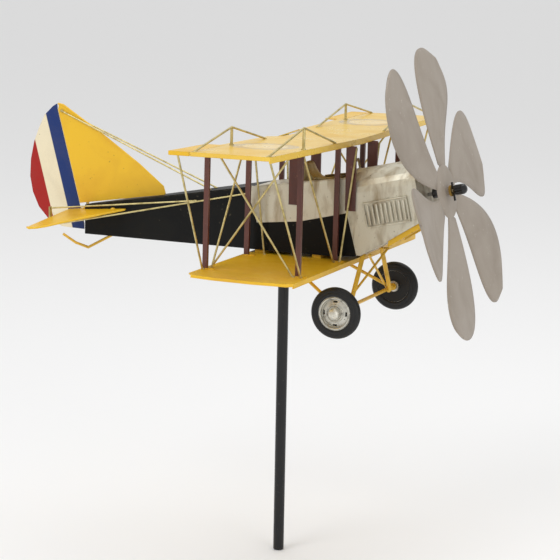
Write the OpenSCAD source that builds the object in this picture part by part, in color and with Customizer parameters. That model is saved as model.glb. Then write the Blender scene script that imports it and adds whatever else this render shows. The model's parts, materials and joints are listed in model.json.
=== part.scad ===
/* [Pole] */
// Outer diameter of the pole tube
pole_d = 12; // [11:0.5:14]
// Length of the pole section
pole_h = 336; // [300:2:336]
// Depth of the socket in the foot of the pole
socket_depth = 50; // [30:5:80]
// Diameter of the pivot spindle on top of the pole
spindle_d = 6; // [5:0.5:6]

/* [Wings] */
// Half span of the upper wing
top_half_span = 250; // [235:5:260]
// Height of the upper wing's top face at its middle
top_z = 473; // [468:1:476]
// Rise of the upper wing towards its tips, in degrees
dihedral = 0.9; // [0.5:0.1:1.2]
// Half span of the lower wing
low_half_span = 190; // [180:2:200]
// Height of the lower wing's top face
low_z = 343; // [340:1:345]
// Leading edge of both wings, ahead of the pole
lead_x = 89; // [88:1:92]
// Thickness of the wing sheet
wing_t = 1.2; // [0.8:0.1:1.6]
// Depth of the folded wing edge
flange_h = 6; // [4:0.5:7]

/* [Fuselage] */
// Half width of the fuselage beside the cockpit
body_half = 30; // [29:0.5:31]
// Height of the fuselage floor
belly_z = 347; // [346:0.5:348]
// Thickness of the body sheet
skin = 0.9; // [0.8:0.1:1.2]
// Upward pitch of the engine and its thrust line, in degrees
thrust_pitch = 13; // [12:0.5:14]

/* [Propeller] */
// Radius of the propeller
prop_r = 158; // [140:2:160]
// Number of petals
blades = 6; // [3:1:6]
// Largest half width of a petal
petal_half = 48.5; // [36:0.5:50]
// Sideways bow of each petal
petal_bow = 28; // [10:1:30]
// Twist of each petal, in degrees
blade_twist = 2; // [1:1:6]
// Turn of the propeller at rest, in degrees
prop_phase = 27; // [0:1:59]
// Diameter of the propeller shaft
shaft_d = 4; // [3.5:0.5:4]

/* [Wheels] */
// Outer radius of the tyres
tyre_r = 27.5; // [26:0.5:28]
// Width of the tyres
tyre_w = 11; // [9:0.5:12]
// Distance of each wheel from the middle
wheel_y = 91; // [88:1:94]
// Diameter of the axle
axle_d = 4; // [3.5:0.5:4]

/* [Rods] */
// Diameter of the rigging rods
wire_d = 2.2; // [1.8:0.1:2.6]
// Diameter of the undercarriage rods
leg_d = 3.6; // [3:0.2:4]
// Thickness of the two front legs
front_leg_d = 5; // [3.6:0.2:6]

/* [Hidden] */

fit = 0.07;
round_fn = 40;

// Wing plan
hinge_x = 3;
trail_x = -20;
strip_x = -30;
bend_x = -4;
droop = 20;
cutout_y = 40;
aileron_in = 164;
front_x = 75;
rear_x = -25;
front_out_x = 77.5;
rear_out_x = -27.4;
tip_flange_h = 4;
outer_y = 146;
front_in_y = 35;
rear_in_y = 46;
low_trail_x = -31;
low_lead_flange = 5;
low_tip_flange = 3;

// Fuselage side outline stations
tail_x = -246;
tail_z = 344;
tail_top = 377;
panel_x = -24;
panel_top = 417;
cowl_x = 85;
cowl_top = 433;
tail_half = 8;
deck_slope = (panel_top - tail_top - 0.7) / (panel_x - tail_x);

// Undercarriage
axle_x = 98.7;
axle_z = 298;

// Thrust line
hub_x = 186;
hub_z = 422;
nose_gap = 21;
hub_disc_r = 29;
petal_root = 0.14;
tip_bow = 12;
prop_t = 1.2;

// Struts
strut_w = 5.4;
strut_t = 3.6;

// Tail
post_top = [-286, 484];
post_foot = [-251, 354];
tail_pitch = 6;
tail_droop = 5;

// Kingposts
king_y = 160;
king_reach = 87;
king_rear = [7, 18.5];
king_front = [86.5, 22];

// ---------- helpers ----------
module rod(p, q, d) {
    v = q - p;
    len = norm(v);
    translate(p)
        rotate([0, acos(v[2] / len), atan2(v[1], v[0])])
            cylinder(h = len, d = d, $fn = 24);
}

// A flat bar from p to q, w wide along X and t thick along Y
module bar(p, q, w, t) {
    v = q - p;
    len = norm(v);
    az = atan2(v[1], v[0]);
    translate(p)
        rotate([0, acos(v[2] / len), az])
            rotate([0, 0, -az])
                linear_extrude(len)
                    square([w, t], center = true);
}

module starboard() {
    mirror([0, 1, 0])
        children();
}

module both_sides() {
    children();
    starboard()
        children();
}

// The plane of one upper wing half, rising outwards
module on_top_wing() {
    translate([0, 0, top_z])
        rotate([dihedral, 0, 0])
            children();
}

// The plane of the drooped rear strip
module on_rear_strip() {
    on_top_wing()
        translate([bend_x, 0, 0])
            rotate([0, -droop, 0])
                children();
}

// Keeps only what lies between the two wings, on the port side
module between_wings() {
    difference() {
        children();
        on_top_wing()
            translate([bend_x, -60, -wing_t])
                cube([140, 360, 40]);
        on_rear_strip()
            translate([-60, -60, -wing_t])
                cube([60.5, 360, 60]);
        translate([-100, -60, low_z - 40])
            cube([300, 360, 40]);
    }
}

module thrust_frame() {
    translate([hub_x, 0, hub_z])
        rotate([0, 90 - thrust_pitch, 0])
            children();
}

// ---------- pole and swivel ----------
module pole_tube() {
    color("black")
        difference() {
            cylinder(h = pole_h, d = pole_d, $fn = round_fn);
            translate([0, 0, -1])
                cylinder(h = pole_h - 23, d = pole_d - 3, $fn = round_fn);
            translate([0, 0, -1])
                cylinder(h = socket_depth + 1, d = pole_d - 2, $fn = round_fn);
            translate([0, 0, pole_h - 25])
                cylinder(h = 26, d = pole_d - 3, $fn = round_fn);
        }
}

module pivot_spindle() {
    color("silver") {
        translate([0, 0, pole_h - 24])
            cylinder(h = 24, d = pole_d - 3, $fn = round_fn);
        translate([0, 0, pole_h - 1])
            cylinder(h = 57.8, d = spindle_d, $fn = round_fn);
    }
}

module pivot_washer() {
    color("goldenrod")
        translate([0, 0, pole_h])
            difference() {
                cylinder(h = 1, d = pole_d - 0.5, $fn = round_fn);
                translate([0, 0, -1])
                    cylinder(h = 3, d = spindle_d, $fn = round_fn);
            }
}

module swivel_tube() {
    color("dimgray")
        translate([0, 0, pole_h + 1.2])
            difference() {
                cylinder(h = 55.8, d = 10, $fn = round_fn);
                translate([0, 0, -1])
                    cylinder(h = 58, d = spindle_d + 2 * fit, $fn = round_fn);
            }
}

module swivel_cap() {
    color("dimgray")
        translate([0, 0, pole_h + 57])
            cylinder(h = 3, d = 12, $fn = round_fn);
}

module tube_bracket() {
    color("dimgray")
        translate([-16, -(body_half - skin), 380])
            difference() {
                cube([32, 2 * (body_half - skin), 1.5]);
                translate([16, body_half - skin, -1])
                    cylinder(h = 4, d = 10, $fn = round_fn);
            }
}

// ---------- fuselage ----------
// Side outline of the black body, from the tail post to the cowl
module body_side(grow = 0) {
    polygon([[tail_x, tail_z - grow], [-40, belly_z - grow], [70, belly_z - grow],
        [cowl_x + 12, belly_z + 2 - grow], [cowl_x, 395], [cowl_x, cowl_top + grow],
        [panel_x, panel_top + grow], [tail_x, tail_top + grow]]);
}

// Plan outline: parallel beside the cockpit, tapering to the tail post
module body_plan(half, tail) {
    polygon([[tail_x - 1, tail], [panel_x, half], [180, half],
        [180, -half], [panel_x, -half], [tail_x - 1, -tail]]);
}

module body_solid(half, tail) {
    intersection() {
        rotate([90, 0, 0])
            linear_extrude(100, center = true)
                body_side();
        linear_extrude(600)
            body_plan(half, tail);
    }
}

module fuselage_shell() {
    color("black")
        difference() {
            body_solid(body_half, tail_half);
            rotate([90, 0, 0])
                linear_extrude(100, center = true)
                    polygon([[tail_x - 5, tail_top + 40], [tail_x - 5, tail_top - 0.5 - 5 * deck_slope],
                        [panel_x, panel_top - 1.2], [cowl_x + 20, cowl_top - 1],
                        [cowl_x + 20, cowl_top + 40]]);
            intersection() {
                translate([tail_x + skin, -50, 0])
                    cube([cowl_x - tail_x, 100, 600]);
                rotate([90, 0, 0])
                    linear_extrude(100, center = true)
                        polygon([[tail_x, tail_z + skin], [-40, belly_z + skin],
                            [70, belly_z + skin], [cowl_x + 20, belly_z + 2.4 + skin],
                            [cowl_x + 20, 600], [tail_x, 600]]);
                linear_extrude(600)
                    body_plan(body_half - skin, tail_half - skin);
            }
            translate([0, 0, belly_z - 5])
                cylinder(h = 10, d = 10, $fn = round_fn);
        }
}

module rear_deck() {
    color("black")
        intersection() {
            linear_extrude(600)
                body_plan(body_half, tail_half);
            rotate([90, 0, 0])
                linear_extrude(100, center = true)
                    polygon([[tail_x, tail_top - 0.5], [panel_x, panel_top - 1.2],
                        [panel_x, panel_top], [tail_x, tail_top + 0.7]]);
        }
}

// Bright side panels that cover the upper half of the cockpit sides
module cockpit_panels() {
    color("silver")
        both_sides()
            translate([0, body_half + skin, 0])
                rotate([90, 0, 0])
                    linear_extrude(skin)
                        polygon([[panel_x - 3, panel_top], [panel_x - 4, 400],
                            [panel_x + 4, 377], [30, 382], [cowl_x - 0.5, 395],
                            [cowl_x - 0.5, cowl_top - 1], [panel_x + 2, panel_top - 0.5]]);
}

module cockpit_deck() {
    color("silver")
        difference() {
            rotate([90, 0, 0])
                linear_extrude(2 * body_half, center = true)
                    polygon([[panel_x, panel_top - 1.2], [cowl_x, cowl_top - 1.2],
                        [cowl_x, cowl_top], [panel_x, panel_top]]);
            translate([40, -17, 400])
                cube([36, 34, 60]);
        }
}

module headrest() {
    color("peru")
        rotate([90, 0, 0])
            linear_extrude(26, center = true)
                polygon([[25, 425], [42, 427.4], [33, 436], [29.5, 445], [25, 445]]);
}

module windshield() {
    color("saddlebrown")
        translate([84, 0, 433])
            rotate([0, -14, 0])
                translate([-1.2, -16, 0.4])
                    difference() {
                        cube([1.2, 32, 17]);
                        translate([-1, 4, 3])
                            cube([4, 24, 10.5]);
                    }
}

// ---------- engine ----------
// Section of the cowl: straight sides and an arched top
module cowl_section(half, crown) {
    polygon(concat([[-90, -half], [crown - 24, -half]],
        [for (a = [-75:15:75]) [crown - 24 + 24 * cos(a), half * sin(a)]],
        [[crown - 24, half], [-90, half]]));
}

module cowl_prism(half, crown, x0, x1) {
    thrust_frame()
        translate([0, 0, x0])
            linear_extrude(x1 - x0)
                mirror([1, 0, 0])
                    cowl_section(half, crown);
}

module cowl_side(grow) {
    polygon([[cowl_x, 395], [cowl_x + 12, belly_z + 3.2 + grow], [cowl_x + 17, belly_z + 3.2 + grow],
        [126, 364.5 + grow], [166, 390 + grow], [171, 394 + grow], [155, 466], [cowl_x, 466]]);
}

module engine_cowl() {
    color("silver")
        difference() {
            intersection() {
                cowl_prism(body_half + 1, 40, -115, -nose_gap);
                rotate([90, 0, 0])
                    linear_extrude(100, center = true)
                        cowl_side(0);
            }
            intersection() {
                cowl_prism(body_half + 1 - skin, 40 - skin, -120, 5 - nose_gap);
                rotate([90, 0, 0])
                    linear_extrude(100, center = true)
                        polygon([[cowl_x - 5, 400], [cowl_x + 12.5, belly_z + 4.4],
                            [cowl_x + 17, belly_z + 4.4], [126, 366], [166, 391.6],
                            [182, 402], [182, 466], [cowl_x - 5, 466]]);
            }
        }
}

module nose_plate() {
    color("gray")
        difference() {
            intersection() {
                cowl_prism(body_half + 0.95 - skin, 39.95 - skin, -nose_gap - 1.5, -nose_gap);
                rotate([90, 0, 0])
                    linear_extrude(100, center = true)
                        polygon([[cowl_x, 380], [166, 391.7], [176, 398.2],
                            [176, 466], [cowl_x, 466]]);
            }
            thrust_frame()
                translate([0, 0, -60])
                    cylinder(h = 60, d = shaft_d, $fn = 24);
        }
}

module louvre_panel() {
    color("lightgray")
        translate([104, body_half + 1, 408])
            rotate([0, -thrust_pitch, 0])
                translate([0, 0, -28])
                    union() {
                        cube([49, 0.8, 28]);
                        cube([49, 2.2, 2.4]);
                        translate([0, 0, 26])
                            cube([49, 1.8, 2]);
                        for (i = [0:8])
                            translate([3 + i * 5.1, 0, 4])
                                cube([2.2, 2.2, 20]);
                    }
}

module louvre_port() {
    louvre_panel();
}

module louvre_starboard() {
    starboard()
        louvre_panel();
}

module nose_bearers() {
    color("gold")
        both_sides()
            rotate([90, 0, 0])
                translate([0, 0, -29])
                    linear_extrude(5)
                        polygon([[132, 362], [168, 385], [168, 391.27], [132, 368.32]]);
}

// ---------- wings ----------
// One upper wing half lies in its own plane, its top face at zero
module top_wing_half() {
    color("gold") {
        on_top_wing() {
            translate([0, 0, -wing_t])
                linear_extrude(wing_t)
                    polygon([[8, 0], [lead_x, 0], [lead_x, top_half_span],
                        [hinge_x, top_half_span], [hinge_x, aileron_in],
                        [bend_x, aileron_in], [bend_x, cutout_y + 4], [8, cutout_y - 8]]);
            translate([lead_x - wing_t, 0, -flange_h])
                cube([wing_t, top_half_span, flange_h]);
            translate([hinge_x, top_half_span - wing_t, -tip_flange_h])
                cube([lead_x - hinge_x, wing_t, tip_flange_h]);
        }
        on_rear_strip()
            translate([strip_x - bend_x, cutout_y + 2, -wing_t])
                cube([bend_x - strip_x, aileron_in - cutout_y - 3, wing_t]);
    }
}

module top_wing_port() {
    top_wing_half();
}

module top_wing_starboard() {
    starboard()
        top_wing_half();
}

module wing_joiner() {
    color("goldenrod")
        translate([12, -5, top_z - wing_t - 1.4])
            cube([lead_x - 16, 10, 1.3]);
}

module aileron() {
    color("gold")
        on_top_wing() {
            translate([trail_x, aileron_in, -wing_t])
                cube([hinge_x - trail_x - 0.5, top_half_span - aileron_in, wing_t]);
            translate([trail_x, top_half_span - wing_t, -tip_flange_h])
                cube([hinge_x - trail_x - 0.5, wing_t, tip_flange_h]);
            for (y = [aileron_in + 12, top_half_span - 20])
                translate([hinge_x - 8, y, -wing_t - 0.8])
                    cube([14, 6, 0.8]);
        }
}

module aileron_port() {
    aileron();
}

module aileron_starboard() {
    starboard()
        aileron();
}

// Edge of the lower wing's tip, from back to front
low_tip_edge = [[low_trail_x + 6, low_half_span - 4], [0, low_half_span + 1],
    [46, low_half_span + 3], [lead_x - 6, low_half_span], [lead_x, low_half_span - 5]];

module lower_outline() {
    polygon([[low_trail_x, -low_half_span + 12], [low_trail_x + 6, -low_half_span + 4],
        [0, -low_half_span - 1], [46, -low_half_span - 3], [lead_x - 6, -low_half_span],
        [lead_x, -low_half_span + 5], [lead_x, low_half_span - 5],
        [lead_x - 6, low_half_span], [46, low_half_span + 3], [0, low_half_span + 1],
        [low_trail_x + 6, low_half_span - 4], [low_trail_x, low_half_span - 12]]);
}

module lower_wing() {
    color("goldenrod")
        difference() {
            union() {
                translate([0, 0, low_z - wing_t])
                    linear_extrude(wing_t)
                        lower_outline();
                translate([lead_x - wing_t, -low_half_span + 5, low_z - low_lead_flange])
                    cube([wing_t, 2 * low_half_span - 10, low_lead_flange]);
                both_sides()
                    translate([0, 0, low_z - low_tip_flange])
                        linear_extrude(low_tip_flange)
                            polygon(concat(low_tip_edge,
                                [for (i = [4:-1:0]) low_tip_edge[i] - [0, wing_t]]));
            }
            cylinder(h = 500, d = 10, $fn = round_fn);
        }
}

module wing_packers() {
    color("sienna")
        for (x = [-24, 44])
            translate([x, -26, low_z])
                cube([10, 52, belly_z - low_z]);
}

// ---------- struts ----------
module strut_pair(inner, outer, lean) {
    between_wings()
        for (foot = [inner, outer])
            bar([foot[0], foot[1], low_z - 2], [foot[0] + lean, foot[1], top_z + 4], strut_w, strut_t);
}

module struts_front_port() {
    color("rosybrown")
        strut_pair([front_x, front_in_y + 2], [front_out_x, outer_y], 1);
}

module struts_front_starboard() {
    starboard()
        struts_front_port();
}

module struts_rear_port() {
    color("saddlebrown")
        strut_pair([rear_x, rear_in_y], [rear_out_x, outer_y], 1.5);
}

module struts_rear_starboard() {
    starboard()
        struts_rear_port();
}

// Planks from the body up to the given depth below the upper wing's top face
module cabane(x, w, z0, below) {
    color("maroon")
        both_sides()
            difference() {
                translate([x, body_half + 1.05, z0])
                    cube([w, 2.2, top_z - z0]);
                on_top_wing()
                    translate([-100, -60, -below])
                        cube([300, 360, 40]);
            }
}

module cabane_front() {
    cabane(83.5, 11.5, 398, flange_h);
}

module cabane_rear() {
    cabane(18, 10.5, 400, wing_t);
}

// Small solder tabs on the lower wing beside the struts
module foot_blocks() {
    for (foot = [[front_x, 36], [front_out_x, outer_y], [rear_x, rear_in_y], [rear_out_x, outer_y]])
        translate([foot[0] + 3.5, foot[1] - 2, low_z])
            cube([6, 4, 1]);
}

module strut_feet() {
    color("goldenrod")
        both_sides()
            foot_blocks();
}

// ---------- rigging ----------
module rigging_side() {
    color("darkkhaki")
        difference() {
            between_wings()
                rigging_rods();
            foot_blocks();
        }
}

module rigging_rods() {
    // tips down to the outer strut feet
    rod([trail_x + 5, 242, 478], [rear_out_x - 1, outer_y + 4.2, low_z - 2], wire_d);
    rod([lead_x - 5, 243, 478], [front_out_x + 5, outer_y + 3.6, low_z - 2], wire_d);
    // crossed rods between the two outer struts
    rod([-22, outer_y + 3, 478], [front_out_x - 3.4, outer_y + 3, low_z - 2], wire_d);
    rod([front_out_x - 3, outer_y - 3, 478], [rear_out_x + 3, outer_y - 3, low_z - 2], wire_d);
    // rear bay and front bay diagonals
    rod([rear_x + 2, rear_in_y + 6, 476], [rear_x + 1, outer_y - 7, low_z - 2], wire_d);
    rod([front_x, outer_y - 6, 478], [front_x + 1, front_in_y + 8, low_z - 2], wire_d);
    // centre rods beside the body
    rod([rear_x + 6, rear_in_y + 1, 476], [-9, 34, low_z - 2], wire_d);
    rod([96, 34.5, 466], [front_x + 5.5, front_in_y + 3, low_z - 2], wire_d);
}

module rigging_port() {
    rigging_side();
}

module rigging_starboard() {
    starboard()
        rigging_side();
}

// Posts stand at X and rise to a height above the wing
module kingposts() {
    color("darkkhaki")
        both_sides()
            on_top_wing()
                for (post = [king_rear, king_front])
                    translate([post[0], king_y, 0]) {
                        cylinder(h = post[1] - 1.2, d = 3, $fn = 24);
                        cylinder(h = 1.2, d = 4.6, $fn = 24);
                    }
}

module kingpost_stay(post) {
    difference() {
        rod([post[0], king_reach, 0.4], [post[0], 0.05, post[1]], wire_d);
        translate([0, 0, -10])
            cube([200, 400, 10]);
        translate([post[0] - 5, -3, 0])
            cube([10, 6, post[1] - 1.2]);
        translate([post[0] - 5, -10, 0])
            cube([10, 10, post[1] + 9]);
    }
}

module kingpost_stays() {
    color("khaki")
        both_sides()
            on_top_wing()
                translate([0, king_y, 0])
                    for (post = [king_rear, king_front]) {
                        kingpost_stay(post);
                        starboard()
                            kingpost_stay(post);
                    }
}

// ---------- tail ----------
module fin() {
    color("gold")
        rotate([90, 0, 0])
            linear_extrude(1.2, center = true)
                polygon([post_foot + [-5.9, 24], post_top + [0.6, 0], [-284, 491.5],
                    [-279, 490], [-226, 457.5], [-180, 427], [-150, 404],
                    [-147.5, 395.2]]);
}

module rudder() {
    color("ivory")
        rotate([90, 0, 0])
            linear_extrude(1.4, center = true)
                polygon([post_foot + [-0.4, -6], post_foot + [-0.4, 0], post_top + [-0.4, 0],
                    [-287, 491], [-292, 488], [-303, 477.5], [-311, 461], [-317, 446],
                    [-321.5, 425], [-322.5, 405], [-319, 387], [-311, 370],
                    [-299, 357.5], [-280, 349]]);
}

// Each half of the tailplane slopes down to its tip
module tailplane() {
    color("gold")
        difference() {
            both_sides()
                translate([-256, 0, 371.5])
                    rotate([0, -tail_pitch, 0])
                        rotate([-tail_droop, 0, 0])
                            translate([0, 0, -0.6])
                                linear_extrude(1.2)
                                    polygon([[12, 2], [12, 8], [66, 8], [66, 16], [24, 70], [8, 96],
                                        [0, 103], [-9, 104], [-14, 99], [-14, 2]]);
            linear_extrude(600)
                body_plan(body_half, tail_half);
        }
}

module control_horns() {
    color("khaki")
        both_sides()
            translate([-272, 42, 355.5])
                cube([2, 4, 22.5]);
}

module control_cables() {
    color("khaki")
        both_sides() {
            rod([-269.8, 44, 376.5], [-98, 23.6, 394.6], 1.8);
            rod([-269.8, 44, 357], [-33, 30.1, 408], 1.8);
        }
}

module fin_stays() {
    color("khaki")
        both_sides()
            rod([-280, 1.6, 483], [-88, 8, 406.8], 1.8);
}

module tail_skid() {
    color("goldenrod")
        difference() {
            union() {
                rod([-279, 0, 340], [-261.5, 0, 330.6], 3);
                rod([-262.5, 0, 331.2], [-245.5, 0, 326.8], 3.04);
                rod([-246.5, 0, 326.7], [-209, 0, 347], 3.08);
            }
            translate([-238, -10, tail_z])
                rotate([0, -0.85, 0])
                    cube([60, 20, 20]);
        }
}

// ---------- undercarriage ----------
module below_body() {
    difference() {
        children();
        translate([0, -100, low_z - wing_t])
            cube([lead_x, 200, 100]);
        translate([lead_x, -100, belly_z + 3.2])
            cube([100, 200, 100]);
        translate([axle_x, -120, axle_z])
            rotate([-90, 0, 0])
                cylinder(h = 240, d = axle_d, $fn = 24);
    }
}

module gear_legs() {
    color("goldenrod")
        both_sides()
            below_body() {
                rod([104, 27, 353], [axle_x + 4.2, 63, axle_z], front_leg_d);
                rod([20.6, 46, 343], [axle_x, 78.5, axle_z], leg_d);
            }
}

module gear_braces() {
    color("goldenrod")
        below_body() {
            rod([109, -26, 352], [axle_x - 2.7, 72, axle_z], 2.6);
            rod([113, 26, 352], [axle_x - 2.2, -72, axle_z], 2.6);
        }
}

module axle() {
    color("goldenrod")
        translate([axle_x, 0, axle_z])
            rotate([90, 0, 0])
                cylinder(h = 2 * wheel_y + 14, d = axle_d, center = true, $fn = round_fn);
}

module axle_collars() {
    color("goldenrod")
        both_sides()
            translate([axle_x, 82.5, axle_z])
                rotate([-90, 0, 0])
                    difference() {
                        cylinder(h = 2.4, d = 8, $fn = round_fn);
                        translate([0, 0, -1])
                            cylinder(h = 5, d = axle_d, $fn = round_fn);
                    }
}

module on_wheel() {
    translate([axle_x, wheel_y, axle_z])
        rotate([-90, 0, 0])
            children();
}

module tyre() {
    color("black")
        on_wheel()
            rotate_extrude($fn = 64)
                difference() {
                    intersection() {
                        translate([tyre_r - 6.5, 0])
                            circle(r = 6.5, $fn = 40);
                        translate([0, -tyre_w / 2])
                            square([40, tyre_w]);
                    }
                    square([2 * 18, 40], center = true);
                }
}

module rim() {
    color("silver")
        on_wheel()
            difference() {
                rotate_extrude($fn = 64)
                    polygon([[axle_d / 2 + fit, -5.5], [6, -5.5], [6, -1.2], [15, -2.4],
                        [16.5, -4.6], [18, -4.6], [18, 4.6], [16.5, 4.6], [15, 1.6],
                        [8, 3.6], [7, 5.2], [axle_d / 2 + fit, 5.2]]);
                for (a = [0:90:270])
                    rotate([0, 0, a])
                        translate([12.4, 0, -8])
                            linear_extrude(16)
                                square([1.8, 4.6], center = true);
            }
}

module hub_cap() {
    color("ivory")
        on_wheel()
            translate([0, 0, 5.2])
                rotate_extrude($fn = 48)
                    polygon([[0, 3.2], [2.3, 3.2], [2.3, 0], [5.6, 0], [5.6, 3.6],
                        [4.4, 5], [0, 5.4]]);
}

module tyre_port() {
    tyre();
}

module tyre_starboard() {
    starboard()
        tyre();
}

module rim_port() {
    rim();
}

module rim_starboard() {
    starboard()
        rim();
}

module hub_cap_port() {
    hub_cap();
}

module hub_cap_starboard() {
    starboard()
        hub_cap();
}

// ---------- propeller ----------
// Half width and bowed centre line of a petal at s, from 0 at the hub to 1 at its tip
function petal_width(s) = petal_half * pow(sin(180 * pow(s, 2.7)), 0.38);
function petal_centre(s) = petal_bow * 4 * s * (1 - s) + tip_bow * s * s;

// Stations along a petal, closer together towards its tip
function station(u) = 1 - (1 - petal_root) * pow(1 - u, 2);

// One petal along +X
module petal() {
    polygon(concat(
        [for (u = [0:0.0625:1]) [prop_r * station(u), petal_centre(station(u)) - petal_width(station(u))]],
        [for (u = [0.9375:-0.0625:0]) [prop_r * station(u), petal_centre(station(u)) + petal_width(station(u))]]));
}

module propeller_blades() {
    color("gray")
        thrust_frame()
            difference() {
                union() {
                    translate([0, 0, -prop_t / 2])
                        cylinder(h = prop_t, r = hub_disc_r, $fn = 48);
                    for (i = [0:blades - 1])
                        rotate([blade_twist, 0, 180 - prop_phase - i * 360 / blades])
                            translate([0, 0, -prop_t / 2])
                                linear_extrude(prop_t)
                                    petal();
                }
                translate([0, 0, -20])
                    cylinder(h = 40, d = 9, $fn = round_fn);
            }
}

module propeller_hub() {
    color("gray")
        thrust_frame()
            translate([0, 0, -4])
                difference() {
                    cylinder(h = 8, d = 9, $fn = round_fn);
                    translate([0, 0, -1])
                        cylinder(h = 10, d = shaft_d + 2 * fit, $fn = round_fn);
                }
}

module propeller_shaft() {
    color("dimgray")
        thrust_frame()
            translate([0, 0, -40])
                cylinder(h = 57, d = shaft_d, $fn = round_fn);
}

// Ring around the shaft, from z0, of the given height and diameter
module shaft_ring(z0, h, d) {
    thrust_frame()
        translate([0, 0, z0])
            difference() {
                cylinder(h = h, d = d, $fn = round_fn);
                translate([0, 0, -1])
                    cylinder(h = h + 2, d = shaft_d, $fn = round_fn);
            }
}

module shaft_bead() {
    color("black")
        shaft_ring(-15, 10.8, 10);
}

module shaft_washer() {
    color("goldenrod")
        shaft_ring(4.2, 2.4, 12);
}

module split_pin() {
    color("black")
        thrust_frame()
            difference() {
                translate([-9, -1, 6.7])
                    cube([20, 2, 2]);
                cylinder(h = 20, d = shaft_d, $fn = round_fn);
            }
}

module shaft_cap() {
    color("black")
        thrust_frame()
            translate([0, 0, 8.8])
                difference() {
                    rotate_extrude($fn = 48)
                        polygon([[0, 0], [4.5, 0], [5.6, 2], [5.6, 10], [4.6, 12.5],
                            [2.6, 14], [0, 14.5]]);
                    translate([0, 0, -1])
                        cylinder(h = 9.2, d = shaft_d, $fn = round_fn);
                }
}

pole_tube();
pivot_spindle();
pivot_washer();
swivel_tube();
swivel_cap();
tube_bracket();
fuselage_shell();
rear_deck();
cockpit_panels();
cockpit_deck();
headrest();
windshield();
engine_cowl();
nose_plate();
louvre_starboard();
louvre_port();
nose_bearers();
top_wing_starboard();
top_wing_port();
wing_joiner();
aileron_starboard();
aileron_port();
lower_wing();
wing_packers();
struts_front_starboard();
struts_rear_starboard();
struts_front_port();
struts_rear_port();
cabane_front();
cabane_rear();
strut_feet();
rigging_starboard();
rigging_port();
kingposts();
kingpost_stays();
fin();
rudder();
tailplane();
control_horns();
control_cables();
fin_stays();
tail_skid();
gear_legs();
gear_braces();
axle();
axle_collars();
tyre_starboard();
tyre_port();
rim_starboard();
rim_port();
hub_cap_starboard();
hub_cap_port();
propeller_blades();
propeller_hub();
propeller_shaft();
shaft_bead();
shaft_washer();
split_pin();
shaft_cap();
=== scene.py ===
# %% [markdown]
# # A sheet-metal biplane whirligig
# This garden spinner is made from cut and folded tin plate, bent wire and a steel pole. Everything is in
# metres, in the frame of the CAD: +X is the nose, +Y the port wing and +Z up.

# %% Load the frame
import json
import math
import random
import bmesh
import bpy
from mathutils import Matrix, Vector


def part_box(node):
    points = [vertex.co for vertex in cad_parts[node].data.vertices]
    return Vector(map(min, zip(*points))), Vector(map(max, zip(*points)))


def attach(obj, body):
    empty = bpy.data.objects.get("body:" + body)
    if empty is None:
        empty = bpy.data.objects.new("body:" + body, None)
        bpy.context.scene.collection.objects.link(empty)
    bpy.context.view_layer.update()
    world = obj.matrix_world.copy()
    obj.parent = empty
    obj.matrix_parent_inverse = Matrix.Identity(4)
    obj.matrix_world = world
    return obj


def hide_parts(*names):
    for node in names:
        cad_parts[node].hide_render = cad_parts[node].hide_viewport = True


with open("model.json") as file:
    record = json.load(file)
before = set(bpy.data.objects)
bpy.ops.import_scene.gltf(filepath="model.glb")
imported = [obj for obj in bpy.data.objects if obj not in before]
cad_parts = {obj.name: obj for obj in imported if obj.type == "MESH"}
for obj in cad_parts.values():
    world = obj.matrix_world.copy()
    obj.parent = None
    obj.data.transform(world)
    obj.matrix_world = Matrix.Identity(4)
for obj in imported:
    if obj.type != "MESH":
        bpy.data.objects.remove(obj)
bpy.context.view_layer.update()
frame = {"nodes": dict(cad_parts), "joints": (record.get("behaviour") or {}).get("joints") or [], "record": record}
MM = 0.001

# %% [markdown]
# ## Camera
# The plane is looked at from its starboard side, a little ahead of the wings and slightly above them, with a
# long lens, so that the near wheel is only a little larger than the far one. The camera leans by about a degree.

# %% Place the camera
view_azimuth, view_height, view_lean = math.radians(23.0), math.radians(10.2), math.radians(1.1)
view_distance = 2.149
aim_height = 0.310
side_step = -0.004

back = Vector((math.sin(view_azimuth) * math.cos(view_height),
               -math.cos(view_azimuth) * math.cos(view_height), math.sin(view_height)))
level_right = Vector((math.cos(view_azimuth), math.sin(view_azimuth), 0))
level_up = back.cross(level_right)
right = math.cos(view_lean) * level_right + math.sin(view_lean) * level_up
up = back.cross(right)
camera_data = bpy.data.cameras.new("camera")
camera_data.lens = 124.5
camera_data.sensor_width = 36
camera = bpy.data.objects.new("camera", camera_data)
turn = Matrix((right, up, back)).transposed().to_4x4()
spot = Vector((0, 0, aim_height)) + side_step * level_right + view_distance * back
camera.matrix_world = Matrix.Translation(spot) @ turn
bpy.context.scene.collection.objects.link(camera)
bpy.context.scene.camera = camera
print("camera at", tuple(round(v, 3) for v in spot))

# %% [markdown]
# ## Floor and light
# A plain pale floor and three large soft lamps give an even light with no hard shadows.

# %% Floor, lamps and sky
def flat_material(name, colour, roughness):
    material = bpy.data.materials.new(name)
    material.use_nodes = True
    shader = material.node_tree.nodes["Principled BSDF"]
    shader.inputs["Base Color"].default_value = (*colour, 1)
    shader.inputs["Roughness"].default_value = roughness
    return material


floor_mesh = bpy.data.meshes.new("floor")
reach = 40.0
floor_mesh.from_pydata([(-reach, -reach, 0), (reach, -reach, 0), (reach, reach, 0), (-reach, reach, 0)],
                       [], [(0, 1, 2, 3)])
floor = bpy.data.objects.new("floor", floor_mesh)
floor.location.z = -0.001
floor.data.materials.append(flat_material("pale paper", (0.9, 0.9, 0.9), 0.9))
bpy.context.scene.collection.objects.link(floor)


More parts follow.
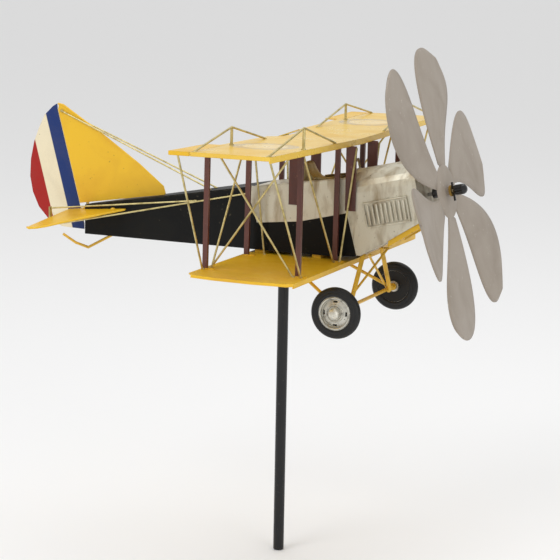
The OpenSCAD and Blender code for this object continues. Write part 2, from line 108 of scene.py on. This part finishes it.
def soft_lamp(name, place, aim, size, watts):
    lamp_data = bpy.data.lights.new(name, "AREA")
    lamp_data.shape = "DISK"
    lamp_data.size = size
    lamp_data.energy = watts
    lamp = bpy.data.objects.new(name, lamp_data)
    lamp.location = place
    lamp.rotation_euler = (Vector(aim) - Vector(place)).to_track_quat("-Z", "Y").to_euler()
    bpy.context.scene.collection.objects.link(lamp)


middle = (0, 0, 0.4)
soft_lamp("key lamp", (-0.9, -2.2, 2.4), middle, 1.6, 22)
soft_lamp("fill lamp", (2.4, -1.4, 1.2), middle, 1.8, 14)
soft_lamp("top lamp", (0.2, 0.6, 2.8), middle, 2.2, 14)
sky = bpy.data.worlds.new("studio")
sky.use_nodes = True
sky_tree = sky.node_tree
backdrop = sky_tree.nodes["Background"]
backdrop.inputs["Color"].default_value = (1, 1, 1, 1)
seen = sky_tree.nodes.new("ShaderNodeLightPath")
strength = sky_tree.nodes.new("ShaderNodeMapRange")
strength.inputs["To Min"].default_value = 0.78
strength.inputs["To Max"].default_value = 1.0
sky_tree.links.new(seen.outputs["Is Camera Ray"], strength.inputs["Value"])
sky_tree.links.new(strength.outputs["Result"], backdrop.inputs["Strength"])
bpy.context.scene.world = sky
bpy.context.scene.view_settings.view_transform = "Standard"


# %% [markdown]
# ## Finishes
# Every piece is tin plate, rod or tube that was brushed with enamel or metal leaf by hand. Such a coat is never
# even: it pools in broad patches, has a fine grain, and rubs through to a darker ground along the edges.
# One recipe is therefore enough, with the colours, pattern sizes and gloss of each coat given to it.

# %% Colour and node helpers
def linear(hex_colour):
    """A colour written as #RRGGBB, in the linear values that shaders take."""
    parts = [int(hex_colour[i:i + 2], 16) / 255 for i in (1, 3, 5)]
    return (*[c / 12.92 if c <= 0.04045 else ((c + 0.055) / 1.055) ** 2.4 for c in parts], 1)


def add(tree, kind, inputs=None, **settings):
    """Adds a node: settings go on the node itself, and inputs are values to set or outputs to link."""
    made = tree.nodes.new(kind)
    for name, value in settings.items():
        setattr(made, name, value)
    for name, value in (inputs or {}).items():
        if isinstance(value, bpy.types.NodeSocket):
            tree.links.new(value, made.inputs[name])
        else:
            made.inputs[name].default_value = value
    return made


def mixed(tree, amount, first, second):
    """The colour that lies between first and second by amount."""
    return add(tree, "ShaderNodeMix", {0: amount, 6: first, 7: second}, data_type="RGBA").outputs[2]


def steps_between(tree, value, low, high, to_low=0.0, to_high=1.0):
    """Value stretched so that low..high becomes to_low..to_high, and held there outside."""
    inputs = {"Value": value, "From Min": low, "From Max": high, "To Min": to_low, "To Max": to_high}
    return add(tree, "ShaderNodeMapRange", inputs, clamp=True).outputs["Result"]


def noise(tree, where, size_mm, detail=4.0, distortion=0.0):
    """Noise whose blotches are about size_mm across."""
    inputs = {"Vector": where, "Scale": 1 / (size_mm * MM), "Detail": detail, "Distortion": distortion}
    return add(tree, "ShaderNodeTexNoise", inputs).outputs["Fac"]


def coat(name, base, patch, worn, patch_mm=28, patch_amount=0.6, grain_mm=0.9, gloss=0.4, metal=0.0,
         wear=0.6, edge_mm=0.7, relief_mm=0.06, streaks=(1, 1, 1), shine=0.5, pattern=None):
    """A hand-brushed coat: base colour with broad patches, fine grain and worn edges."""
    material = bpy.data.materials.new(name)
    material.use_nodes = True
    tree = material.node_tree
    shader = tree.nodes["Principled BSDF"]
    place = add(tree, "ShaderNodeTexCoord").outputs["Object"]
    brushed = add(tree, "ShaderNodeMapping", {"Vector": place, "Scale": streaks}).outputs["Vector"]
    broad = noise(tree, brushed, patch_mm, 5.0, 0.6)
    grain = noise(tree, brushed, grain_mm, 3.0)
    base_colour = pattern(tree, place, linear(base)) if pattern else linear(base)
    colour = mixed(tree, steps_between(tree, broad, 0.45, 0.72, 0, patch_amount), base_colour, linear(patch))
    colour = mixed(tree, steps_between(tree, grain, 0.58, 0.8, 0, 0.35), colour, linear(patch))
    specks = steps_between(tree, noise(tree, place, 3.5, 1.0), 0.73, 0.79, 0, 0.55)
    colour = mixed(tree, specks, colour, linear(worn))
    soft = add(tree, "ShaderNodeBevel", {"Radius": edge_mm * MM}, samples=4).outputs["Normal"]
    flat = add(tree, "ShaderNodeNewGeometry").outputs["Normal"]
    same = add(tree, "ShaderNodeVectorMath", {0: soft, 1: flat}, operation="DOT_PRODUCT").outputs["Value"]
    edges = steps_between(tree, same, 0.99, 0.88)
    rubbed = add(tree, "ShaderNodeMath",
                 {0: edges, 1: steps_between(tree, noise(tree, place, 5), 0.4, 0.6, 0, wear)},
                 operation="MULTIPLY").outputs[0]
    tree.links.new(mixed(tree, rubbed, colour, linear(worn)), shader.inputs["Base Color"])
    shader.inputs["Metallic"].default_value = metal
    shader.inputs["Specular IOR Level"].default_value = shine
    tree.links.new(steps_between(tree, broad, 0.3, 0.7, gloss - 0.07, gloss + 0.1), shader.inputs["Roughness"])
    height = add(tree, "ShaderNodeMath", {0: broad, 1: grain}, operation="ADD").outputs[0]
    bump = add(tree, "ShaderNodeBump", {"Height": height, "Strength": 0.5, "Distance": relief_mm * MM})
    tree.links.new(bump.outputs["Normal"], shader.inputs["Normal"])
    return material


print("coat recipe ready")

# %% [markdown]
# ## Rudder stripes and wing rings
# The rudder is painted in three upright stripes, blue next to the hinge line, then cream, then red.
# Each upper wing half carries a faint, half rubbed ring mark, painted thin so that the yellow shows through.

# %% Painted patterns
def rudder_stripes(tree, place, base):
    """Stripes side by side behind the slanted rudder post."""
    spread = add(tree, "ShaderNodeSeparateXYZ", {"Vector": place})
    slant = add(tree, "ShaderNodeMath", {0: spread.outputs["Z"], 1: 0.27, 2: spread.outputs["X"]},
                operation="MULTIPLY_ADD").outputs[0]
    blue_edge, red_edge, blur = -0.1722, -0.1950, 0.0003
    in_blue = steps_between(tree, slant, blue_edge - blur, blue_edge + blur)
    past_red = steps_between(tree, slant, red_edge - blur, red_edge + blur)
    return mixed(tree, past_red, linear("#A21B15"), mixed(tree, in_blue, base, linear("#15306C")))


def wing_rings(tree, place, base):
    """A faint ring mark on each upper wing half."""
    spread = add(tree, "ShaderNodeSeparateXYZ", {"Vector": place})
    across = add(tree, "ShaderNodeMath", {0: spread.outputs["Y"]}, operation="ABSOLUTE").outputs[0]
    flat = add(tree, "ShaderNodeCombineXYZ", {"X": spread.outputs["X"], "Y": across})
    gap = add(tree, "ShaderNodeVectorMath", {0: flat.outputs[0], 1: (0.040, 0.150, 0)}, operation="DISTANCE")
    radius = gap.outputs["Value"]
    thin = steps_between(tree, noise(tree, place, 6), 0.35, 0.65, 0.2, 0.6)
    outer = mixed(tree, steps_between(tree, radius, 0.0345, 0.0355, 1, 0), base, linear("#8C93A0"))
    inner = mixed(tree, steps_between(tree, radius, 0.0225, 0.0235, 1, 0), outer, linear("#EFE3C4"))
    return mixed(tree, thin, base, inner)


print("patterns ready")

# %% [markdown]
# ## The finish of every slot
# The yellow is a warm enamel that turns golden where it is thick. The cowl and cockpit sides look leafed in
# silver with a golden brown patina, brushed upright. Rods are brass coloured and the planks a red brown.

# %% Mix the finishes
finishes = {
    "pole_black": coat("black satin enamel on the pole", "#0E0E0F", "#1C1C1E", "#5A5854", 60, 0.5, 1.2, 0.3,
                       shine=0.4),
    "body_black": coat("black satin enamel on sheet", "#0C0C0B", "#191814", "#57503F", 40, 0.6, 1.2, 0.5,
                       shine=0.16),
    "wing_yellow": coat("yellow enamel on tin plate", "#E8B91E", "#D39C17", "#6B4E16", 38, 0.5, 0.8, 0.36,
                        wear=0.8, edge_mm=0.5),
    "rod_yellow": coat("yellow enamel on rod", "#DDAE2C", "#B08A26", "#5E4716", 14, 0.6, 0.7, 0.4, wear=0.4),
    "cowl_silver": coat("aged silver leaf", "#D3CEBC", "#83683A", "#54431F", 20, 0.75, 0.9, 0.4, 0.6,
                        relief_mm=0.35, streaks=(1.6, 1.6, 0.5)),
    "seat_bronze": coat("bronze and silver leaf", "#A8976D", "#5E4A27", "#40301A", 10, 0.8, 0.8, 0.42, 0.6,
                        relief_mm=0.25),
    "strut_brown": coat("red brown enamel", "#5E342B", "#3B1F1B", "#8D6A58", 20, 0.7, 0.8, 0.34,
                        streaks=(1, 1, 0.25)),
    "rigging_brass": coat("brass rod with lacquer", "#CDBE86", "#84743C", "#5E5028", 10, 0.7, 0.6, 0.34, 0.7,
                          wear=0.3),
    "brass": coat("dull brass", "#B4924A", "#7B5F2B", "#E0C27C", 8, 0.6, 0.5, 0.34, 0.9),
    "steel": coat("plain drawn steel", "#8D8B86", "#5E5C58", "#C9C7C2", 14, 0.5, 0.6, 0.36, 1.0,
                  streaks=(1, 1, 0.2)),
    "rim": coat("pressed and aged zinc", "#C9C6BB", "#77736A", "#4A463F", 7, 0.75, 0.6, 0.36, 0.85,
                relief_mm=0.15),
    "hub_cap": coat("bright zinc", "#E2DFD2", "#9A9484", "#6A655A", 4, 0.6, 0.4, 0.36, 0.6, relief_mm=0.12),
    "tyre": coat("moulded black rubber", "#161616", "#232221", "#3A3937", 9, 0.6, 0.5, 0.5, relief_mm=0.05,
                 shine=0.35),
    "propeller_taupe": coat("matt taupe enamel", "#978C7F", "#857A6D", "#CFC6B9", 45, 0.5, 0.7, 0.5,
                            wear=0.35, edge_mm=0.4),
    "gloss_black": coat("gloss black lacquer", "#0A0A0B", "#181716", "#6A6864", 6, 0.4, 0.5, 0.14),
    "rudder_stripes": coat("striped enamel", "#E9DDBE", "#6F675A", "#4A4237", 30, 0.1, 0.8, 0.42,
                           shine=0.3, pattern=rudder_stripes),
}
# The upper wing's yellow is lighter and paler than the other yellow parts. That extra lightness is painted sheen
# of its lit top face; the ring marks on it are real paint.
ringed_yellow_painted_sheen = coat("yellow enamel with faint rings and painted sheen", "#E9C24A", "#DBA93A", "#6B4E16", 38, 0.5, 0.8, 0.3,
                     wear=0.8, edge_mm=0.5, pattern=wing_rings)
print(len(finishes) + 1, "finishes")

# %% [markdown]
# ## Dressing the CAD pieces
# Sheet that was cut and folded by hand has no razor edges, so the pieces of most finishes get a small rounding
# that catches the light, and all curved faces are shaded smooth between the true corners.

# %% Give each CAD piece its finish, and most of them rounded edges
slot_of = {piece["node"]: piece["material_slot"] for piece in frame["record"]["subparts"]}
rounding_mm = {"wing_yellow": 0.35, "body_black": 0.5, "cowl_silver": 0.3, "strut_brown": 0.6, "tyre": 0.4,
               "seat_bronze": 1.0, "rim": 0.3, "rudder_stripes": 0.4, "propeller_taupe": 0.2}
for name, piece in frame["nodes"].items():
    slot = slot_of[name]
    piece.data.materials.clear()
    # Upper wing pieces take the lighter yellow, whose extra lightness is painted sheen.
    piece.data.materials.append(ringed_yellow_painted_sheen if name.startswith("top_wing") else finishes[slot])
    piece.data.shade_smooth()
    piece.data.set_sharp_from_angle(angle=math.radians(32))
    if slot in rounding_mm:
        rounded = piece.modifiers.new("rounded edges", "BEVEL")
        rounded.width = rounding_mm[slot] * MM
        rounded.segments = 2
        rounded.limit_method = "ANGLE"
        rounded.angle_limit = math.radians(40)
        rounded.harden_normals = True
print(len(frame["nodes"]), "pieces dressed")

# %% [markdown]
# ## Building pieces by hand
# Three small tools make the pieces that need more shape than the CAD gives: one makes a named object that rides
# on a body, one spins a profile round an axis, and one strings a round rod through points.

# %% Tools for new pieces
joints = {joint["name"]: joint for joint in frame["joints"]}


def piece(name, points, faces, body, slot, stands_for=(), smooth_below=35):
    """A named mesh with the finish of its slot, riding on a body, in place of the CAD nodes it stands for."""
    mesh = bpy.data.meshes.new(name)
    mesh.from_pydata([tuple(p) for p in points], [], faces)
    mesh.validate()
    shape = bmesh.new()
    shape.from_mesh(mesh)
    bmesh.ops.recalc_face_normals(shape, faces=shape.faces)
    shape.to_mesh(mesh)
    shape.free()
    mesh.materials.append(finishes[slot])
    mesh.shade_smooth()
    mesh.set_sharp_from_angle(angle=math.radians(smooth_below))
    made = bpy.data.objects.new(name, mesh)
    bpy.context.scene.collection.objects.link(made)
    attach(made, body)
    if stands_for:
        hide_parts(*stands_for)
    return made


def turned(profile, centre, axis, count=72):
    """Points and faces of a closed profile of (radius, height) pairs in mm, spun round an axis."""
    axis = Vector(axis).normalized()
    first = axis.orthogonal().normalized()
    second = axis.cross(first)
    points, faces = [], []
    for k in range(count):
        angle = 2 * math.pi * k / count
        outward = math.cos(angle) * first + math.sin(angle) * second
        points += [Vector(centre) + r * MM * outward + h * MM * axis for r, h in profile]
    n = len(profile)
    for k in range(count):
        for i in range(n):
            a, b = k * n + i, k * n + (i + 1) % n
            faces.append((a, b, (b + n) % (n * count), (a + n) % (n * count)))
    return points, faces


def rod_through(stops, diameter_mm, sides=12):
    """Points and faces of a round rod through the stops, given in mm."""
    stops = [Vector(s) * MM for s in stops]
    points, faces = [], []
    guide = Vector((0.3, 0.9, 0.2)).normalized()
    for i, stop in enumerate(stops):
        ahead = (stops[min(i + 1, len(stops) - 1)] - stops[max(i - 1, 0)]).normalized()
        first = ahead.cross(guide).normalized()
        second = ahead.cross(first)
        for k in range(sides):
            angle = 2 * math.pi * k / sides
            points.append(stop + diameter_mm / 2 * MM * (math.cos(angle) * first + math.sin(angle) * second))
    for i in range(len(stops) - 1):
        for k in range(sides):
            a, b = i * sides + k, i * sides + (k + 1) % sides
            faces.append((a, b, b + sides, a + sides))
    faces.append(tuple(range(sides)))
    faces.append(tuple(range(len(points) - 1, len(points) - sides - 1, -1)))
    return points, faces


def gathered(parts):
    """Several (points, faces) as one."""
    points, faces = [], []
    for some_points, some_faces in parts:
        start = len(points)
        points += list(some_points)
        faces += [tuple(i + start for i in face) for face in some_faces]
    return points, faces


print("joints:", ", ".join(joints))

# %% [markdown]
# ## Propeller
# The propeller is one disc of sheet, slit between six bowed petals. Each petal was bent a little by hand, some
# forward and some back, so no two stand quite alike. A petal is widest three quarters of the way out.

# %% Petal propeller
hub = Vector(joints["propeller_spin"]["pos_m"])
ahead = Vector(joints["propeller_spin"]["axis"]).normalized()
aside = Vector((0, 1, 0))
disc_up = ahead.cross(aside)
petal_length = 158
petal_half = 48.5
petal_bow, tip_bow = 28, 12
first_petal = 27
hub_share = 0.17
sheet_cup = 2.2
sheet_mm = 1.2
bends_mm = (-10, -7, 9, 8, 22, -7)
leans = (4, 2, -2, -4, 0, 1)
twists = (1, -2, -2, -5, 5, 5)


def petal_point(index, s, across):
    """A point on a petal: s runs from hub to tip, and across from -1 to 1."""
    width = petal_half * max(math.sin(math.pi * s ** 2.7), 0) ** 0.38
    centre = petal_bow * 4 * s * (1 - s) + tip_bow * s * s
    grown = max(s - hub_share, 0) / (1 - hub_share)
    angle = math.radians(first_petal + 60 * index + leans[index] * grown)
    outward = math.cos(angle) * disc_up + math.sin(angle) * aside
    sideways = math.sin(angle) * disc_up - math.cos(angle) * aside
    twist = math.radians(twists[index]) * grown
    offset = centre + across * width
    forward = bends_mm[index] * grown ** 1.5 - sheet_cup * grown * across * across + math.sin(twist) * offset
    return hub + MM * (petal_length * s * outward + offset * math.cos(twist) * sideways + forward * ahead)


rows, columns = 34, 12
petal_span = 0.86
parts = []
for index in range(6):
    points = [petal_point(index, 1 - petal_span * (1 - row / rows) ** 2, -1 + 2 * column / columns)
              for row in range(rows + 1) for column in range(columns + 1)]
    faces = [(r * (columns + 1) + c, r * (columns + 1) + c + 1, (r + 1) * (columns + 1) + c + 1,
              (r + 1) * (columns + 1) + c) for r in range(rows) for c in range(columns)]
    parts.append((points, faces))
petals = piece("propeller_petals", *gathered(parts), "propeller", "propeller_taupe", ["propeller_blades"], 60)
thick = petals.modifiers.new("sheet thickness", "SOLIDIFY")
thick.thickness = sheet_mm * MM
thick.offset = 0
disc = [(4.6, -0.7), (28.6, -0.7), (29, -0.5), (29, 0.5), (28.6, 0.7), (4.6, 0.7)]
piece("propeller_disc", *turned(disc, hub, ahead, 96), "propeller", "propeller_taupe")
print("petals reach", petal_length, "mm")

# %% [markdown]
# ## Wheels
# The tyres are plain moulded rubber with a raised shoulder ring. The rims are pressed sheet with rolled edges
# and stepped rings, four slots, and a domed cap over the axle's end. A black disc closes each inner side.

# %% Tyres, rolled rims and caps
def bead_ring(radius, height, thick, tall, corners=8):
    """The profile of a round bead pressed into a rim, in mm."""
    angles = [2 * math.pi * i / corners for i in range(corners)]
    return [(radius + thick * math.cos(a), height + tall * math.sin(a)) for a in angles]


tyre_side = [(18, 4.9), (18.6, 5.5), (20, 5.75), (21.8, 5.6), (22.6, 5.1), (23, 5.25), (24.6, 4.9),
             (26, 4.0), (27, 2.5), (27.45, 1.0)]
tyre_profile = tyre_side + [(r, -h) for r, h in reversed(tyre_side)]
for side, sign in (("starboard", -1), ("port", 1)):
    centre = Vector(joints["wheel_" + side + "_spin"]["pos_m"])
    out = Vector((0, sign, 0))
    body = "wheel_" + side
    piece("rubber_tyre_" + side, *turned(tyre_profile, centre, out, 96), body, "tyre", ["tyre_" + side])
    beads = (bead_ring(16.6, 4.5, 1.1, 0.9, 10), bead_ring(9.2, 3.4, 0.7, 0.6), bead_ring(14.9, 1.9, 0.5, 0.5))
    rings = gathered([turned(ring, centre, out) for ring in beads])
    piece("rim_rings_" + side, *rings, body, "rim", smooth_below=80)
    dome = [(2.3, 5.3), (6.2, 5.3), (6.3, 6.2), (5.9, 7.4), (5.2, 8.5), (4.2, 9.4), (2.8, 10.1), (1.4, 10.4),
            (0.01, 10.5), (0.01, 8.6), (2.3, 8.5)]
    back = [(6.3, -3.3), (17.8, -5), (17.8, -4.7), (6.3, -3)]
    piece("wheel_back_" + side, *turned(back, centre, out), body, "tyre", smooth_below=60)
    piece("wheel_cap_" + side, *turned(dome, centre, out, 48), body, "hub_cap", ["hub_cap_" + side], 60)
print("two wheels")

# %% [markdown]
# ## Engine cowl trim
# The cowl is one bent sheet. Its rear edge is rolled round a wire, a strap goes over its front end, and a
# shallow bead is pressed along each side above the louvres.

# %% Strap, rolled edge and side bead
arch_base, arch_rise, cowl_half = 16, 24, 31
strap_rear, strap_front = -31, -21.2


def on_thrust_line(along, height, side):
    """A point given along the thrust line, above it and to the side, in mm, as mm in the row frame."""
    return hub / MM + along * ahead + height * disc_up + side * aside


def cowl_arch(grow=0.0, foot=-22):
    """(height, side) pairs up one side of the cowl, over its arched top and down the other side."""
    arc = [(arch_base + (arch_rise + grow) * math.cos(a), (cowl_half + grow) * math.sin(a))
           for a in [math.radians(d) for d in range(-90, 91, 9)]]
    return [(foot, -cowl_half - grow)] + arc + [(foot, cowl_half + grow)]


strap = []
inner, outer = cowl_arch(0.02), cowl_arch(0.75)
for (low, low_side), (high, high_side) in zip(inner, outer):
    strap += [on_thrust_line(a, h, s) * MM for a, h, s in
              ((strap_rear, low, low_side), (strap_front, low, low_side),
               (strap_front, high, high_side), (strap_rear, high, high_side))]
count = len(inner)
strap_faces = [(4 * i + k, 4 * i + (k + 1) % 4, 4 * i + 4 + (k + 1) % 4, 4 * i + 4 + k)
               for i in range(count - 1) for k in range(4)]
strap_faces += [(0, 1, 2, 3), (4 * count - 4, 4 * count - 3, 4 * count - 2, 4 * count - 1)]
piece("cowl_strap", strap, strap_faces, "plane", "cowl_silver")

rear_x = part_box("engine_cowl")[0][0] / MM + 0.4
tilt = math.atan2(ahead.z, ahead.x)
rear_edge = []
for height, side in cowl_arch(0.3, foot=-3):
    along = (rear_x - hub.x / MM + height * math.sin(tilt)) / math.cos(tilt)
    rear_edge.append(on_thrust_line(along, height, side))
rear_edge = [(97.4, -31.3, 352)] + rear_edge + [(97.4, 31.3, 352)]
beads = [rod_through(rear_edge, 1.5)]
for side in (-1, 1):
    beads.append(rod_through([on_thrust_line(-78, 4, 30.9 * side), on_thrust_line(-74, 5, 31.2 * side),
                              on_thrust_line(-40, 5.5, 31.2 * side), on_thrust_line(-35, 5, 30.9 * side)], 0.9))
piece("cowl_beads", *gathered(beads), "plane", "cowl_silver", smooth_below=80)
ribs = []
rib_count, first_rib, rib_pitch, louvre_long, louvre_tall = 9, 4.1, 5.1, 49, 27
lengthways, upright = Vector((math.cos(tilt), 0, math.sin(tilt))), Vector((-math.sin(tilt), 0, math.cos(tilt)))
for side in (-1, 1):
    corner = Vector((104, 33 * side, 408))
    for i in range(rib_count):
        rib = corner + (first_rib + rib_pitch * i) * lengthways
        ribs.append(rod_through([rib - 24.5 * upright, rib - 23.5 * upright + Vector((0, 0.4 * side, 0)),
                                 rib - 5 * upright + Vector((0, 0.4 * side, 0)), rib - 4 * upright], 2.9))
    far_end = corner + louvre_long * lengthways
    rail = [corner - louvre_tall * upright, far_end - louvre_tall * upright, far_end - upright,
            corner - upright, corner - louvre_tall * upright]
    ribs.append(rod_through(rail, 2.0))
piece("louvre_ribs", *gathered(ribs), "plane", "cowl_silver", smooth_below=80)
print("cowl trim")

# %% [markdown]
# ## Cockpit
# A padded looking headrest fairs into the deck behind the opening, and a rolled coaming runs round the opening.
# Both were covered in bronze leaf. The headrest is the CAD block with its front hollowed in a smooth curve.

# %% Headrest and coaming
headrest_half, headrest_foot = 13, 425
side_line = [(24.8, 424), (24.6, 434), (24.9, 442), (25.6, 444.2), (27.2, 445), (29, 444.2), (30.2, 441.8),
             (32, 437.4), (34.8, 432.8), (38.6, 429.2), (43, 427.4)]
slices, layers = len(side_line), 9
head = []
for layer in range(layers):
    y = headrest_half * (2 * layer / (layers - 1) - 1)
    tuck = 1 - 0.16 * abs(y / headrest_half) ** 4
    for x, z in side_line:
        head.append((x * MM, y * MM, (headrest_foot + (z - headrest_foot) * tuck) * MM))
head_faces = [(a * slices + i, a * slices + (i + 1) % slices, (a + 1) * slices + (i + 1) % slices,
               (a + 1) * slices + i) for a in range(layers - 1) for i in range(slices)]
head_faces += [tuple(range(slices)), tuple(range((layers - 1) * slices, layers * slices))]
piece("headrest_fairing", head, head_faces, "plane", "seat_bronze", ["headrest"], 50)
deck_rise = 16 / 109
coaming = [(x, y, 417.9 + (x + 24) * deck_rise) for x, y in
           ((41, -14.5), (44, -17.3), (58, -18), (73, -17.3), (76.5, -14), (77, 0), (76.5, 14), (73, 17.3),
            (58, 18), (44, 17.3), (41, 14.5))]
piece("cockpit_coaming", *rod_through(coaming, 2.8), "plane", "seat_bronze", smooth_below=80)
print("cockpit trim")

# %% [markdown]
# ## Folded hems
# The tin plate is turned over at its edges so that it can't cut. Each hem shows as a thin round bead. The
# tailplane's halves droop to their tips, so its hem is drawn flat and then turned with the sheet.

# %% Hems on wings, fin and tailplane
slope = math.tan(math.radians(0.9))
lead_x, lower_z = 88.2, 340.4
tail_droop, tail_pitch, tail_hinge = 5, 6, Vector((-256, 0, 371.5))
hems = []
for side in (-1, 1):
    tip_z = 469.3 + 249 * slope
    tip = 249.2 * side
    hems.append(rod_through([(lead_x, side, 467.2), (lead_x, 248.5 * side, 467.2 + 249 * slope)], 1.5))
    hems.append(rod_through([(87, tip, tip_z), (4, tip, tip_z)], 1.3))
    hems.append(rod_through([(-19, tip, tip_z), (2, tip, tip_z)], 1.3))
    hems.append(rod_through([(-19.6, y * side, 472.3 + y * slope) for y in (165, 249)], 1.6))
    hems.append(rod_through([(lead_x, 0, 338.3), (lead_x, 184 * side, 338.3)], 1.5))
    lower_tip = ((-25, 186), (0, 190.6), (46, 192.6), (83, 189.7), (88.4, 185))
    hems.append(rod_through([(x, y * side, lower_z) for x, y in lower_tip], 1.3))
hems.append(rod_through([(-30.6, -177, 342.4), (-30.6, 177, 342.4)], 1.5))
hems.append(rod_through([(-285.5, 0, 491), (-279, 0, 490), (-226, 0, 457.6), (-180, 0, 427.2), (-150, 0, 404.2),
                         (-147.6, 0, 396)], 2.2))
for side in (-1, 1):
    edge = [Vector((x, y * side, 0)) for x, y in ((66, 17), (24, 70), (8, 96), (0, 103), (-9, 104), (-14, 99))]
    for turn_by, line in ((math.radians(-tail_droop) * side, "X"), (math.radians(-tail_pitch), "Y")):
        edge = [Matrix.Rotation(turn_by, 3, line) @ point for point in edge]
    hems.append(rod_through([point + tail_hinge for point in edge], 2.4))
piece("sheet_hems", *gathered(hems), "plane", "wing_yellow", smooth_below=80)
print(len(hems), "hems")

# %% [markdown]
# ## Solder
# Every rod end was soldered by hand and then painted over, which leaves a flattened, uneven lump. The lumps are
# scattered a little in size and turn, from a fixed seed so that they come out the same each time.

# %% Solder lumps
random.seed(7)


def lump(x, y, z, across, tall):
    """Points and faces of one uneven lump, in mm."""
    shape = bmesh.new()
    bmesh.ops.create_icosphere(shape, subdivisions=2, radius=1)
    turn_by = random.uniform(0, math.pi)
    wide = across * random.uniform(0.85, 1.2)
    points = []
    for vert in shape.verts:
        swell = 1 + random.uniform(-0.09, 0.09)
        u, v, w = (c * swell for c in vert.co)
        points.append(((x + wide * (u * math.cos(turn_by) - 0.8 * v * math.sin(turn_by))) * MM,
                       (y + wide * (u * math.sin(turn_by) + 0.8 * v * math.cos(turn_by))) * MM,
                       (z + tall * w) * MM))
    faces = [tuple(v.index for v in face.verts) for face in shape.faces]
    shape.free()
    return points, faces


def wing_top(x, y, above=0.0):
    """A point on or near the upper wing's top face, following its drooped rear strip."""
    droop = 0.364 * max(-4 - x, 0) if abs(y) < 163 else 0
    return x, y, 473 + abs(y) * slope - droop + above


bright, painted = [], []
for side in (-1, 1):
    for x in (7, 86):
        for y in (74, 160, 246):
            bright.append(lump(*wing_top(x, y * side, 0.2), 2.3, 0.8))
    for x, y in ((75, 37), (77.5, 146), (-25, 46), (-27, 146)):
        painted.append(lump(x, y * side, 343.2, 4.2, 1.0))
        painted.append(lump(*wing_top(x + 1, y * side, -1.9), 3.2, 1.0))
    for x, y in ((-28, 150), (82, 149.5), (73.5, 149), (-9, 34), (80.5, 38), (76, 43), (-25, 139), (-24, 143)):
        bright.append(lump(x, y * side, 343.4, 2.2, 1.1))
    for x, y in ((-15, 242), (84, 243), (-19, 149), (74, 143), (-23, 52), (75, 140), (-19, 47)):
        bright.append(lump(*wing_top(x, y * side, -2.2), 2.0, 1.0))
    for x, y, size in ((101.4, 63, 3.4), (97, 72, 2.6), (98.7, 78, 3.1)):
        painted.append(lump(x, y * side, 298, size, size * 0.9))
    for x, y, z in ((104, 27, 350.5), (111, 26, 351), (24, 47.5, 341)):
        painted.append(lump(x, y * side, z, 3.2, 1.6))
    bright.append(lump(-280, 1.2 * side, 483, 2.2, 2.0))
    bright.append(lump(-88, 8 * side, 406.4, 2.2, 1.0))
    bright.append(lump(-98, 23.4 * side, 394.6, 2.4, 1.2))
    bright.append(lump(-33, 29.8 * side, 408, 2.2, 1.4))
    painted.append(lump(-247, 4 * side, 373, 3.0, 1.6))
    painted.append(lump(-207, 13 * side, 376, 2.4, 1.8))
piece("solder_on_rods", *gathered(bright), "plane", "rigging_brass", smooth_below=80)
piece("solder_under_paint", *gathered(painted), "plane", "rod_yellow", smooth_below=80)
print(len(bright) + len(painted), "lumps")
